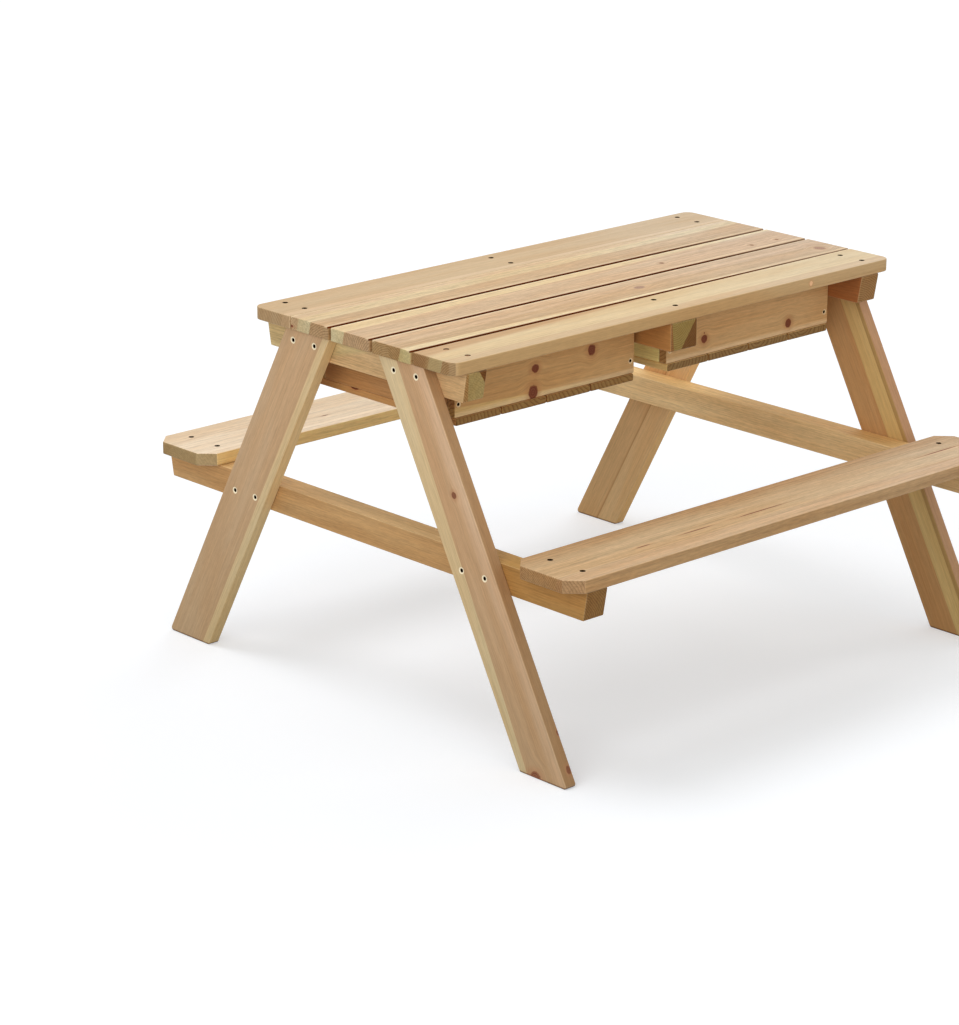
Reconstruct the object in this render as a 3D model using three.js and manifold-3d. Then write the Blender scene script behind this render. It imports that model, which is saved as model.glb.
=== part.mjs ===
// A children's wooden picnic table: two A-frames carry the tabletop and two fixed bench seats, and
// two slatted sand boxes hang under the tabletop, closed by a lift-off lid of three boards.
// Millimetres, +Z up, X along the table, the origin on the floor under the middle of the table.
import * as THREE from "three";
import { mergeVertices } from "three/addons/utils/BufferGeometryUtils.js";
import Module from "manifold-3d";

const wasm = await Module();
wasm.setup();

// Overall sizes
const TABLE_LENGTH = 890;
const TABLE_HEIGHT = 550;
const SEAT_HEIGHT = 300;
const SEAT_INNER_EDGE = 325;

// Tabletop boards: one fixed at the front, one at the back, three in the lid between them
const BOARD_WIDTH = 82;
const BOARD_THICKNESS = 19;
const TABLE_CORNER_RADIUS = 15;
const TABLE_CORNER_STEPS = 4;
const LID_BOARD_GAP = 5;
const LID_BOARDS = 3;
const LID_BACK_GAP = 1;
const LID_FRONT_GAP = 3;

// Battens screwed under the lid boards
const BATTEN_WIDTH = 38;
const BATTEN_HEIGHT = 19;
const BATTEN_END_CLEARANCE = 4;
const BATTEN_SIDE_CLEARANCE = 4;

// Bench seats
const SEAT_WIDTH = 124;
const SEAT_THICKNESS = 19;
const SEAT_END_OVERHANG = 8.5;
const SEAT_CORNER_CUT = 22;
const SAWN_CORNER_STEPS = 1;

// Beams across the frames
const BEAM_THICKNESS = 38;
const BEAM_HEIGHT = 42;
const MIDDLE_BEAM_THICKNESS = 53;
const BEAM_END_SLANT = 7.5;
const TOP_BEAM_TIP_INSET = 1;
const SEAT_BEAM_TIP_INSET = 2;

// Legs
const LEG_WIDTH = 82;
const LEG_THICKNESS = 19;
const LEG_END_INSET = 5.5;
const LEG_FOOT_CENTRE = 386;
const LEG_TOP_CENTRE = 98;

// Sand boxes
const WALL_THICKNESS = 15;
const WALL_HEIGHT = 84;
const BOX_MIDDLE_GAP = 6.5;
const SLATS = 4;
const SLAT_THICKNESS = 11;
const SLAT_GAP = 0.6;
const SLAT_END_INSET = 1.5;
const SLAT_OVERHANG = 1.5;

// Fasteners: cylinder-headed screws sunk in countersunk bores
const LEG_SCREW_SPACING = 46;
const LEG_SCREW_TOP_DROP = 17;
const LEG_SCREW_LENGTH = 48;
const SHANK_RADIUS = 1.8;
const POINT_LENGTH = 5;
const HEAD_RADIUS = 2.6;
const HEAD_HEIGHT = 4;
const HEAD_DEPTH = 3.5;
const SOCKET_RADIUS = 1.4;
const SOCKET_DEPTH = 2.5;
const BORE_RADIUS = 2.9;
const COUNTERSINK_RADIUS = 5.5;
const COUNTERSINK_DEPTH = 2.4;
const TOP_RECESS_RADIUS = 3.8;
const TOP_RECESS_RIM_RADIUS = 4.2;
const TOP_RECESS_RIM_DEPTH = 0.5;
const TOP_RECESS_DEPTH = 6;
const BOARD_SCREW_SPACING = 43;
const SEAT_SCREW_SPACING = 62;
const WALL_SCREW_EDGE_DISTANCE = 19;
const WALL_RECESS_RADIUS = 2.4;
const WALL_RECESS_RIM_RADIUS = 4.2;
const WALL_RECESS_RIM_DEPTH = 1.6;
const ROUND_SIDES = 12;

// Fits
const JOINT_GAP = 0.3;
const SHANK_GAP = 0.4;
const CUT_OVERRUN = 5;
const WELD_DISTANCE = 0.001;
const ARRIS = 1.5;
const SLAT_ARRIS = 2.5;

// Heights and widths that follow
const lidDepth = LID_BOARDS * BOARD_WIDTH + (LID_BOARDS - 1) * LID_BOARD_GAP;
const tableWidth = 2 * BOARD_WIDTH + lidDepth + LID_BACK_GAP + LID_FRONT_GAP;
const tableUnderside = TABLE_HEIGHT - BOARD_THICKNESS;
const fixedBoardCentre = (tableWidth - BOARD_WIDTH) / 2;
const openingHalf = tableWidth / 2 - BOARD_WIDTH;
const seatCentre = SEAT_INNER_EDGE + SEAT_WIDTH / 2;
const seatUnderside = SEAT_HEIGHT - SEAT_THICKNESS;
const topBeamTop = tableUnderside - JOINT_GAP;
const seatBeamTop = seatUnderside - JOINT_GAP;
const legOuterFace = TABLE_LENGTH / 2 - LEG_END_INSET;
const seatLength = 2 * (legOuterFace + SEAT_END_OVERHANG);
const beamOuterFace = legOuterFace - LEG_THICKNESS - JOINT_GAP;
const beamCentre = beamOuterFace - BEAM_THICKNESS / 2;
const beamInnerFace = beamOuterFace - BEAM_THICKNESS;

// Surface colours
const wood = (color) => new THREE.MeshStandardMaterial({ color, roughness: 0.7, metalness: 0 });
const cedar = wood(0xd8b98a);
const paleCedar = wood(0xe0c79b);
const redCedar = wood(0xc39a6b);
const steel = new THREE.MeshStandardMaterial({ color: 0x3a332b, roughness: 0.45, metalness: 0.9 });

const table = new THREE.Group();

// A named piece in the group, at its place.
function place(parent, name, geometry, material, x = 0, y = 0, z = 0) {
  const piece = new THREE.Mesh(geometry, material);
  piece.name = name;
  piece.position.set(x, y, z);
  parent.add(piece);
  return piece;
}

// A closed geometry as a solid that can be joined and cut; triangles with no area are left out.
function solidOf(geometry) {
  const bare = new THREE.BufferGeometry().setAttribute("position", geometry.getAttribute("position"));
  if (geometry.index) bare.setIndex(geometry.index);
  const merged = mergeVertices(bare, WELD_DISTANCE);
  const corners = merged.index.array;
  const triVerts = [];
  for (let i = 0; i < corners.length; i += 3) {
    const [a, b, c] = [corners[i], corners[i + 1], corners[i + 2]];
    if (a !== b && b !== c && c !== a) triVerts.push(a, b, c);
  }
  const vertProperties = merged.attributes.position.array;
  return new wasm.Manifold(
    new wasm.Mesh({ numProp: 3, vertProperties, triVerts: new Uint32Array(triVerts) }),
  );
}

function geometryOf(solid) {
  const mesh = solid.getMesh();
  const geometry = new THREE.BufferGeometry();
  geometry.setAttribute("position", new THREE.BufferAttribute(new Float32Array(mesh.vertProperties), 3));
  geometry.setIndex(new THREE.BufferAttribute(new Uint32Array(mesh.triVerts), 1));
  geometry.computeVertexNormals();
  return geometry;
}

// The geometry less each cutter, where a cutter is a closed geometry already in its place.
function cut(geometry, cutters) {
  return geometryOf(cutters.reduce((left, cutter) => left.subtract(solidOf(cutter)), solidOf(geometry)));
}

// Three ways a plank's outline and thickness can lie: on its face, on edge facing the front (thickness
// towards -Y), and on edge facing an end (thickness towards +X).
const LYING = new THREE.Matrix4();
const FACING_FRONT = new THREE.Matrix4().makeBasis(
  new THREE.Vector3(1, 0, 0),
  new THREE.Vector3(0, 0, 1),
  new THREE.Vector3(0, -1, 0),
);
const FACING_END = new THREE.Matrix4().makeBasis(
  new THREE.Vector3(0, 1, 0),
  new THREE.Vector3(0, 0, 1),
  new THREE.Vector3(1, 0, 0),
);

// A plank of the given outline whose broad faces have eased edges; its thickness starts at zero.
function plank(outline, thickness, way, arris = ARRIS) {
  const shape = new THREE.Shape(outline.map(([u, v]) => new THREE.Vector2(u, v)));
  const geometry = new THREE.ExtrudeGeometry(shape, {
    depth: thickness - 2 * arris,
    bevelEnabled: true,
    bevelThickness: arris,
    bevelSize: arris,
    bevelOffset: -arris,
    bevelSegments: 1,
    steps: 1,
  });
  return geometry.translate(0, 0, arris).applyMatrix4(way);
}

// A rectangle about the middle of its length, from the given low edge up, as outline points.
function rectangle(length, low, high) {
  return [
    [-length / 2, low],
    [length / 2, low],
    [length / 2, high],
    [-length / 2, high],
  ];
}

// A board's outline about its centre. Each worked corner is a quarter turn about a centre set in by the
// corner's size, in several steps where it is rounded and in one where it is sawn off at 45 degrees.
function boardOutline(length, width, cornerSize, cornerSteps, frontWorked, backWorked) {
  const [l, w] = [length / 2, width / 2];
  const corner = (worked, sideX, sideY, quarter) => {
    if (!worked) return [[sideX * l, sideY * w]];
    return Array.from({ length: cornerSteps + 1 }, (_, i) => {
      const angle = ((quarter + i / cornerSteps) * Math.PI) / 2;
      return [
        sideX * (l - cornerSize) + cornerSize * Math.cos(angle),
        sideY * (w - cornerSize) + cornerSize * Math.sin(angle),
      ];
    });
  };
  return [
    ...corner(frontWorked, -1, -1, 2),
    ...corner(frontWorked, 1, -1, 3),
    ...corner(backWorked, 1, 1, 0),
    ...corner(backWorked, -1, 1, 1),
  ];
}

// A turned solid about the local Y axis from points (radius, height), turned so that +Y becomes the
// given direction and set at the given place.
function turned(profile, direction, at) {
  const lathe = new THREE.LatheGeometry(profile.map(([r, h]) => new THREE.Vector2(r, h)), ROUND_SIDES);
  const turn = new THREE.Quaternion().setFromUnitVectors(new THREE.Vector3(0, 1, 0), direction);
  return lathe.applyQuaternion(turn).translate(at.x, at.y, at.z);
}

// What a sunk screw's recess removes: a short countersink at the face and a blind bore below it.
function recess(rimRadius, rimDepth, radius, depth, direction, at) {
  const slope = (rimRadius - radius) / rimDepth;
  return turned(
    [
      [0, -depth],
      [radius, -depth],
      [radius, -rimDepth],
      [rimRadius + slope * CUT_OVERRUN, CUT_OVERRUN],
      [0, CUT_OVERRUN],
    ],
    direction,
    at,
  );
}

// A straight hole that starts outside the face and goes the given depth into it.
function bore(radius, depth, direction, at) {
  return turned([[0, -depth], [radius, -depth], [radius, CUT_OVERRUN], [0, CUT_OVERRUN]], direction, at);
}

const UP = new THREE.Vector3(0, 0, 1);
const FRONT = new THREE.Vector3(0, -1, 0);
const BACK = new THREE.Vector3(0, 1, 0);
const ENDS = [
  { end: "left", side: -1 },
  { end: "right", side: 1 },
];
const EDGES = [
  { edge: "front", facing: -1 },
  { edge: "back", facing: 1 },
];

// Tabletop: the fixed front and back boards are screwed down to the three top beams
for (const { edge, facing } of EDGES) {
  const outline = boardOutline(
    TABLE_LENGTH,
    BOARD_WIDTH,
    TABLE_CORNER_RADIUS,
    TABLE_CORNER_STEPS,
    facing < 0,
    facing > 0,
  );
  const recesses = [-beamCentre, 0, beamCentre].flatMap((x) =>
    [-1, 1].map((row) =>
      recess(
        TOP_RECESS_RIM_RADIUS,
        TOP_RECESS_RIM_DEPTH,
        TOP_RECESS_RADIUS,
        TOP_RECESS_DEPTH,
        UP,
        new THREE.Vector3(x, (row * BOARD_SCREW_SPACING) / 2, BOARD_THICKNESS),
      ),
    ),
  );
  const board = cut(plank(outline, BOARD_THICKNESS, LYING), recesses);
  place(table, `tabletop_${edge}_board`, board, cedar, 0, facing * fixedBoardCentre, tableUnderside);
}

// Lift-off lid: three boards on two battens that drop into the sand boxes just inside their end walls
const lid = new THREE.Group();
table.add(lid);
const lidFrontEdge = -openingHalf + LID_FRONT_GAP;
const boxOuterFace = beamInnerFace - JOINT_GAP;
const battenOuterFace = boxOuterFace - WALL_THICKNESS - BATTEN_END_CLEARANCE;
const battenLength = lidDepth - 2 * BATTEN_SIDE_CLEARANCE;
const lidOutline = rectangle(TABLE_LENGTH, -BOARD_WIDTH / 2, BOARD_WIDTH / 2);
["front", "middle", "back"].forEach((name, i) => {
  const y = lidFrontEdge + BOARD_WIDTH / 2 + i * (BOARD_WIDTH + LID_BOARD_GAP);
  place(lid, `lid_${name}_board`, plank(lidOutline, BOARD_THICKNESS, LYING), paleCedar, 0, y, tableUnderside);
});
for (const { end, side } of ENDS) {
  const batten = plank(rectangle(BATTEN_WIDTH, -battenLength / 2, battenLength / 2), BATTEN_HEIGHT, LYING);
  const x = side * (battenOuterFace - BATTEN_WIDTH / 2);
  const y = lidFrontEdge + lidDepth / 2;
  place(lid, `lid_${end}_batten`, batten, redCedar, x, y, tableUnderside - JOINT_GAP - BATTEN_HEIGHT);
}

// Legs: the same board four times, leaning out from the tabletop to the floor, cut level at both ends
const legHeight = tableUnderside - JOINT_GAP;
const legRun = LEG_FOOT_CENTRE - LEG_TOP_CENTRE;
const levelCutHalf = (LEG_WIDTH * Math.hypot(legRun, legHeight)) / legHeight / 2;
const legCentreAt = (z) => LEG_FOOT_CENTRE - (legRun * z) / legHeight;
const topScrewHeight = tableUnderside - LEG_SCREW_TOP_DROP;
const lowScrewHeight = seatBeamTop - BEAM_HEIGHT / 2;
const legScrewPlaces = [
  { at: "top", z: topScrewHeight },
  { at: "seat", z: lowScrewHeight },
].flatMap(({ at, z }) => [
  { name: `${at}_inner`, y: legCentreAt(z) - LEG_SCREW_SPACING / 2, z },
  { name: `${at}_outer`, y: legCentreAt(z) + LEG_SCREW_SPACING / 2, z },
]);
const legScrewProfile = [
  [0, -HEAD_DEPTH - SOCKET_DEPTH],
  [SOCKET_RADIUS, -HEAD_DEPTH - SOCKET_DEPTH],
  [SOCKET_RADIUS, -HEAD_DEPTH],
  [HEAD_RADIUS, -HEAD_DEPTH],
  [HEAD_RADIUS, -HEAD_DEPTH - HEAD_HEIGHT],
  [SHANK_RADIUS, -HEAD_DEPTH - HEAD_HEIGHT],
  [SHANK_RADIUS, POINT_LENGTH - LEG_SCREW_LENGTH],
  [0, -LEG_SCREW_LENGTH],
].reverse();
const headBoreDepth = HEAD_DEPTH + HEAD_HEIGHT + JOINT_GAP;
for (const { end, side } of ENDS) {
  const outward = new THREE.Vector3(side, 0, 0);
  const outerFace = side * legOuterFace;
  for (const { edge, facing } of EDGES) {
    const outline = [
      [LEG_FOOT_CENTRE - levelCutHalf, 0],
      [LEG_FOOT_CENTRE + levelCutHalf, 0],
      [LEG_TOP_CENTRE + levelCutHalf, legHeight],
      [LEG_TOP_CENTRE - levelCutHalf, legHeight],
    ].map(([y, z]) => [facing * y, z]);
    if (facing < 0) outline.reverse();
    const holes = legScrewPlaces.flatMap(({ y, z }) => {
      const face = new THREE.Vector3(side > 0 ? LEG_THICKNESS : 0, facing * y, z);
      return [
        recess(COUNTERSINK_RADIUS, COUNTERSINK_DEPTH, BORE_RADIUS, headBoreDepth, outward, face),
        bore(SHANK_RADIUS + SHANK_GAP, LEG_THICKNESS + CUT_OVERRUN, outward, face),
      ];
    });
    const leg = cut(plank(outline, LEG_THICKNESS, FACING_END), holes);
    place(table, `${edge}_${end}_leg`, leg, cedar, side > 0 ? outerFace - LEG_THICKNESS : outerFace);
    for (const { name, y, z } of legScrewPlaces) {
      const screw = turned(legScrewProfile, outward, new THREE.Vector3());
      place(table, `leg_screw_${edge}_${end}_${name}`, screw, steel, outerFace, facing * y, z);
    }
  }
}

// Beams: three carry the tabletop and two the seats; all but the middle one have slanted ends, and the
// end beams are drilled for the leg screws
function beamGeometry(halfLength, height, thickness, slant, drillings) {
  const outline = [
    [-halfLength + slant, 0],
    [halfLength - slant, 0],
    [halfLength, height],
    [-halfLength, height],
  ];
  const beam = plank(outline, thickness, FACING_END);
  return drillings.length ? cut(beam, drillings) : beam;
}
const topBeamHalf = tableWidth / 2 - TOP_BEAM_TIP_INSET;
const seatBeamHalf = SEAT_INNER_EDGE + SEAT_WIDTH - SEAT_BEAM_TIP_INSET;
const screwReachInBeam = LEG_SCREW_LENGTH - LEG_THICKNESS - JOINT_GAP + SHANK_GAP;
const beamLevels = [
  { name: "top", top: topBeamTop, half: topBeamHalf, screws: legScrewPlaces.slice(0, 2) },
  { name: "seat", top: seatBeamTop, half: seatBeamHalf, screws: legScrewPlaces.slice(2) },
];
for (const { name, top, half, screws } of beamLevels) {
  const low = top - BEAM_HEIGHT;
  for (const { end, side } of ENDS) {
    const outward = new THREE.Vector3(side, 0, 0);
    const holes = screws.flatMap(({ y, z }) =>
      [-y, y].map((across) =>
        bore(
          SHANK_RADIUS + SHANK_GAP,
          screwReachInBeam,
          outward,
          new THREE.Vector3(side > 0 ? BEAM_THICKNESS : 0, across, z - low),
        ),
      ),
    );
    const beam = beamGeometry(half, BEAM_HEIGHT, BEAM_THICKNESS, BEAM_END_SLANT, holes);
    const x = side > 0 ? beamInnerFace : -beamOuterFace;
    place(table, `${end}_${name}_beam`, beam, redCedar, x, 0, low);
  }
}
const middleBeam = beamGeometry(topBeamHalf, BEAM_HEIGHT, MIDDLE_BEAM_THICKNESS, 0, []);
const middleBeamFace = -MIDDLE_BEAM_THICKNESS / 2;
place(table, "middle_top_beam", middleBeam, redCedar, middleBeamFace, 0, topBeamTop - BEAM_HEIGHT);

// Seats: one board at the front and one at the back, screwed down to the seat beams
for (const { edge, facing } of EDGES) {
  const outline = boardOutline(seatLength, SEAT_WIDTH, SEAT_CORNER_CUT, SAWN_CORNER_STEPS, true, true);
  const recesses = [-beamCentre, beamCentre].flatMap((x) =>
    [-1, 1].map((row) =>
      recess(
        TOP_RECESS_RIM_RADIUS,
        TOP_RECESS_RIM_DEPTH,
        TOP_RECESS_RADIUS,
        TOP_RECESS_DEPTH,
        UP,
        new THREE.Vector3(x, (row * SEAT_SCREW_SPACING) / 2, SEAT_THICKNESS),
      ),
    ),
  );
  const seat = cut(plank(outline, SEAT_THICKNESS, LYING), recesses);
  place(table, `${edge}_seat`, seat, cedar, 0, facing * seatCentre, seatUnderside);
}

// Sand boxes: the long walls stand under the fixed boards' inner edges and cover the ends of the short
// walls; four slats along Y are the floor
const boxLength = boxOuterFace - MIDDLE_BEAM_THICKNESS / 2 - BOX_MIDDLE_GAP;
const boxCentre = boxOuterFace - boxLength / 2;
const wallBottom = topBeamTop - WALL_HEIGHT;
const boxHalfDepth = openingHalf + WALL_THICKNESS;
const shortWallLength = 2 * (openingHalf - JOINT_GAP);
const slatWidth = (boxLength - 2 * SLAT_END_INSET - (SLATS - 1) * SLAT_GAP) / SLATS;
const slatLength = 2 * (boxHalfDepth + SLAT_OVERHANG);
const slatBottom = wallBottom - JOINT_GAP - SLAT_THICKNESS;
const wallScrewAlong = boxLength / 2 - WALL_THICKNESS / 2;
const wallScrewHeights = [WALL_SCREW_EDGE_DISTANCE, WALL_HEIGHT - WALL_SCREW_EDGE_DISTANCE];
for (const { end, side } of ENDS) {
  const box = new THREE.Group();
  box.position.x = side * boxCentre;
  table.add(box);
  for (const { edge, facing } of EDGES) {
    const direction = facing < 0 ? FRONT : BACK;
    const recesses = [-wallScrewAlong, wallScrewAlong].flatMap((x) =>
      wallScrewHeights.map((z) =>
        recess(
          WALL_RECESS_RIM_RADIUS,
          WALL_RECESS_RIM_DEPTH,
          WALL_RECESS_RADIUS,
          TOP_RECESS_DEPTH,
          direction,
          new THREE.Vector3(x, facing < 0 ? -WALL_THICKNESS : 0, z),
        ),
      ),
    );
    const wall = cut(plank(rectangle(boxLength, 0, WALL_HEIGHT), WALL_THICKNESS, FACING_FRONT), recesses);
    const y = facing < 0 ? -openingHalf : boxHalfDepth;
    place(box, `${end}_box_${edge}_wall`, wall, redCedar, 0, y, wallBottom);
  }
  for (const wallSide of [side, -side]) {
    const name = wallSide === side ? "outer" : "inner";
    const wall = plank(rectangle(shortWallLength, 0, WALL_HEIGHT), WALL_THICKNESS, FACING_END);
    const x = wallSide > 0 ? boxLength / 2 - WALL_THICKNESS : -boxLength / 2;
    place(box, `${end}_box_${name}_wall`, wall, paleCedar, x, 0, wallBottom);
  }
  for (let i = 0; i < SLATS; i++) {
    const slat = plank(
      rectangle(slatWidth, -slatLength / 2, slatLength / 2),
      SLAT_THICKNESS,
      LYING,
      SLAT_ARRIS,
    );
    const x = -boxLength / 2 + SLAT_END_INSET + slatWidth / 2 + i * (slatWidth + SLAT_GAP);
    place(box, `${end}_box_slat_${i + 1}`, slat, redCedar, x, 0, slatBottom);
  }
}

export default table;
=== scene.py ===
import math

import bpy
import numpy as np
from mathutils import Matrix, Vector


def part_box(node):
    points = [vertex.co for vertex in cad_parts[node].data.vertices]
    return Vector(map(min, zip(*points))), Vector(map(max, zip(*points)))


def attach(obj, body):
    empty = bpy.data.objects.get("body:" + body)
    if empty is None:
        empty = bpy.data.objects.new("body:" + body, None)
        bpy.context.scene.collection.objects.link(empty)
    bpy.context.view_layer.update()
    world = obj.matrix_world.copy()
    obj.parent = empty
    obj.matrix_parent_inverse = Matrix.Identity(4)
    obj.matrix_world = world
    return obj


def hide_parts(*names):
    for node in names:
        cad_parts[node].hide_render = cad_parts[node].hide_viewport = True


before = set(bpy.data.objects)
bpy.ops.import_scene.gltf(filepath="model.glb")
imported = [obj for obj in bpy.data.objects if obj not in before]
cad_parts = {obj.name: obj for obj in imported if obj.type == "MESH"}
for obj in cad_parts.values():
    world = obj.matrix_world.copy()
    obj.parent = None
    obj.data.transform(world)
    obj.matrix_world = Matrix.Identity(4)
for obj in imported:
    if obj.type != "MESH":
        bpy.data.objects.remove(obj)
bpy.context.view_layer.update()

# The studio: a wide white floor that keeps a soft shadow, an even sky, and four soft lamps: a key from above
# and behind, one beyond each end of the table and one low in front. The camera stands in front of the left
# end, at the photograph's place.
CAMERA_PLACE = (-3.410, -3.467, 1.768)
CAMERA_YAW = -42.79
CAMERA_PITCH = -17.95
CAMERA_ROLL = 0.14
CAMERA_LENS_MM = 120.0
SENSOR_MM = 36.0
WHITE = (1.0, 1.0, 1.0, 1.0)
FLOOR_HALF = 30.0
FLOOR_COLOR = (0.42, 0.42, 0.41, 1.0)
FLOOR_SHOWN_COLOR = (0.70, 0.725, 0.755, 1.0)
FLOOR_GLOW = 0.345
FLOOR_GLOW_COLOR = (1.0, 1.025, 1.06, 1.0)
SKY_COLOR = (1.0, 0.98, 0.95, 1.0)
SKY_STRENGTH = 0.57
NOISE_ROUGHNESS = 0.55
# Each lamp: its colour, its strength, where its light comes from, and how many degrees wide it looks.
LAMPS = {
    "key": ((1.0, 1.0, 1.02), 0.80, (-0.18, 0.40, 0.90), 30.0),
    "left": ((1.0, 0.98, 0.93), 0.88, (-0.90, -0.30, 0.36), 45.0),
    "front": ((1.0, 0.98, 0.95), 0.45, (-0.25, -0.93, 0.18), 40.0),
    "right": ((1.0, 1.0, 1.0), 0.60, (0.84, 0.20, 0.50), 40.0),
}


def set_camera():
    """The camera's axes from its yaw, pitch and roll: it looks along the yaw turned about Z, then pitched."""
    data = bpy.data.cameras.new("camera")
    data.lens = CAMERA_LENS_MM
    data.sensor_width = SENSOR_MM
    data.clip_end = 4 * FLOOR_HALF
    yaw, pitch, roll = (math.radians(a) for a in (CAMERA_YAW, CAMERA_PITCH, CAMERA_ROLL))
    ahead = Vector((-math.sin(yaw) * math.cos(pitch), math.cos(yaw) * math.cos(pitch), math.sin(pitch)))
    level = Vector((math.cos(yaw), math.sin(yaw), 0))
    upright = level.cross(ahead)
    right = math.cos(roll) * level + math.sin(roll) * upright
    up = math.cos(roll) * upright - math.sin(roll) * level
    camera = bpy.data.objects.new("camera", data)
    camera.matrix_world = Matrix.Translation(CAMERA_PLACE) @ Matrix((right, up, -ahead)).transposed().to_4x4()
    bpy.context.scene.collection.objects.link(camera)
    bpy.context.scene.camera = camera


class Graph:
    """The nodes of one tree, written as a calculation: each call adds a node and gives back its result."""

    def __init__(self, tree):
        self.tree = tree

    def add(self, kind, inputs=(), result=0, **settings):
        node = self.tree.nodes.new(kind)
        for name, value in settings.items():
            setattr(node, name, value)
        for name, value in dict(inputs).items():
            self.feed(node.inputs[name], value)
        return node.outputs[result] if len(node.outputs) else node

    def feed(self, socket, value):
        if isinstance(value, bpy.types.NodeSocket):
            self.tree.links.new(value, socket)
        else:
            socket.default_value = value

    def math(self, operation, a, b=0.0, clamp=False):
        return self.add("ShaderNodeMath", {0: a, 1: b}, operation=operation, use_clamp=clamp)

    def product(self, first, *others):
        for other in others:
            first = self.math("MULTIPLY", first, other)
        return first

    def vector(self, operation, a, b=(0, 0, 0)):
        return self.add("ShaderNodeVectorMath", {0: a, 1: b}, operation=operation)

    def dot(self, a, b):
        return self.add("ShaderNodeVectorMath", {0: a, 1: b}, 1, operation="DOT_PRODUCT")

    def scaled(self, vector, factor):
        return self.add("ShaderNodeVectorMath", {0: vector, "Scale": factor}, operation="SCALE")

    def smooth(self, value, low, high, to_low=0.0, to_high=1.0):
        sockets = {"Value": value, "From Min": low, "From Max": high, "To Min": to_low, "To Max": to_high}
        return self.add("ShaderNodeMapRange", sockets, interpolation_type="SMOOTHSTEP")

    def noise(self, place, scale, detail=2.0, result="Fac"):
        stretched = self.vector("MULTIPLY", place, scale)
        sockets = {"Vector": stretched, "Scale": 1.0, "Detail": detail, "Roughness": NOISE_ROUGHNESS}
        return self.add("ShaderNodeTexNoise", sockets, result)

    def mix(self, share, a, b, blend="MIX"):
        node = self.tree.nodes.new("ShaderNodeMix")
        node.data_type = "RGBA"
        node.blend_type = blend
        by_name = {socket.identifier: socket for socket in node.inputs}
        self.feed(by_name["Factor_Float"], share)
        self.feed(by_name["A_Color"], a)
        self.feed(by_name["B_Color"], b)
        return next(socket for socket in node.outputs if socket.identifier == "Result_Color")

    def multiplied(self, a, b):
        return self.mix(1.0, a, b, "MULTIPLY")

    def tinted(self, share, color, tint):
        return self.mix(share, color, self.multiplied(color, tint))

    def parts(self, vector):
        node = self.tree.nodes.new("ShaderNodeSeparateXYZ")
        self.feed(node.inputs[0], vector)
        return node.outputs[0], node.outputs[1], node.outputs[2]

    def place_on_object(self):
        return self.tree.nodes.new("ShaderNodeTexCoord").outputs["Object"]


def seen_directly(graph):
    """One for the camera and for what shines or is clear, so that these too meet a white background."""
    path = graph.tree.nodes.new("ShaderNodeLightPath")
    seen = graph.math("MAXIMUM", path.outputs["Is Camera Ray"], path.outputs["Is Glossy Ray"])
    return graph.math("MAXIMUM", seen, path.outputs["Is Transmission Ray"])


def new_material(name):
    material = bpy.data.materials.new(name)
    material.use_nodes = True
    material.node_tree.nodes.clear()
    return material, Graph(material.node_tree)


def sun(name, color, strength, come_from, angle):
    light = bpy.data.lights.new(name, "SUN")
    light.color = color
    light.energy = strength
    light.angle = math.radians(angle)
    lamp = bpy.data.objects.new(name, light)
    lamp.rotation_mode = "QUATERNION"
    lamp.rotation_quaternion = Vector(come_from).to_track_quat("Z", "Y")
    bpy.context.scene.collection.objects.link(lamp)


def set_studio():
    world = bpy.data.worlds.new("studio")
    bpy.context.scene.world = world
    world.use_nodes = True
    world.node_tree.nodes.clear()
    graph = Graph(world.node_tree)
    sky = graph.add("ShaderNodeBackground", {"Color": SKY_COLOR, "Strength": SKY_STRENGTH})
    white = graph.add("ShaderNodeBackground", {"Color": WHITE, "Strength": 1.0})
    shown = graph.add("ShaderNodeMixShader", {0: seen_directly(graph), 1: sky, 2: white})
    graph.add("ShaderNodeOutputWorld", {"Surface": shown})
    for name, (color, strength, come_from, angle) in LAMPS.items():
        sun(name, color, strength, come_from, angle)

    mesh = bpy.data.meshes.new("floor")
    corners = [(-FLOOR_HALF, -FLOOR_HALF, 0), (FLOOR_HALF, -FLOOR_HALF, 0)]
    corners += [(FLOOR_HALF, FLOOR_HALF, 0), (-FLOOR_HALF, FLOOR_HALF, 0)]
    mesh.from_pydata(corners, [], [(0, 1, 2, 3)])
    floor = bpy.data.objects.new("floor", mesh)
    bpy.context.scene.collection.objects.link(floor)
    material, graph = new_material("white_floor")
    paint = graph.add("ShaderNodeBsdfDiffuse", {"Color": FLOOR_COLOR})
    pale = graph.add("ShaderNodeBsdfDiffuse", {"Color": FLOOR_SHOWN_COLOR})
    glow = graph.add("ShaderNodeEmission", {"Color": FLOOR_GLOW_COLOR, "Strength": FLOOR_GLOW})
    lifted = graph.add("ShaderNodeAddShader", {0: pale, 1: glow})
    shown = graph.add("ShaderNodeMixShader", {0: seen_directly(graph), 1: paint, 2: lifted})
    graph.add("ShaderNodeOutputMaterial", {"Surface": shown})
    mesh.materials.append(material)
    bpy.context.scene.view_settings.view_transform = "Standard"


set_camera()
set_studio()

# The fixed tabletop boards: planed cedar with eased edges, made up of strips of heartwood and of pale
# sapwood, their outer corners rounded. Two sunk screws go down into each of the three top beams.
MM = 0.001
ARRIS = 1.6 * MM
ARRIS_STEPS = 4
CORNER_ROUNDING = 2.3 * MM
CORNER_STEPS = 6
LEAST_ROUNDING = 0.3 * MM
TABLE_CORNER_RADIUS = 15 * MM
BOARD_SCREW_SPACING = 43 * MM
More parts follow.
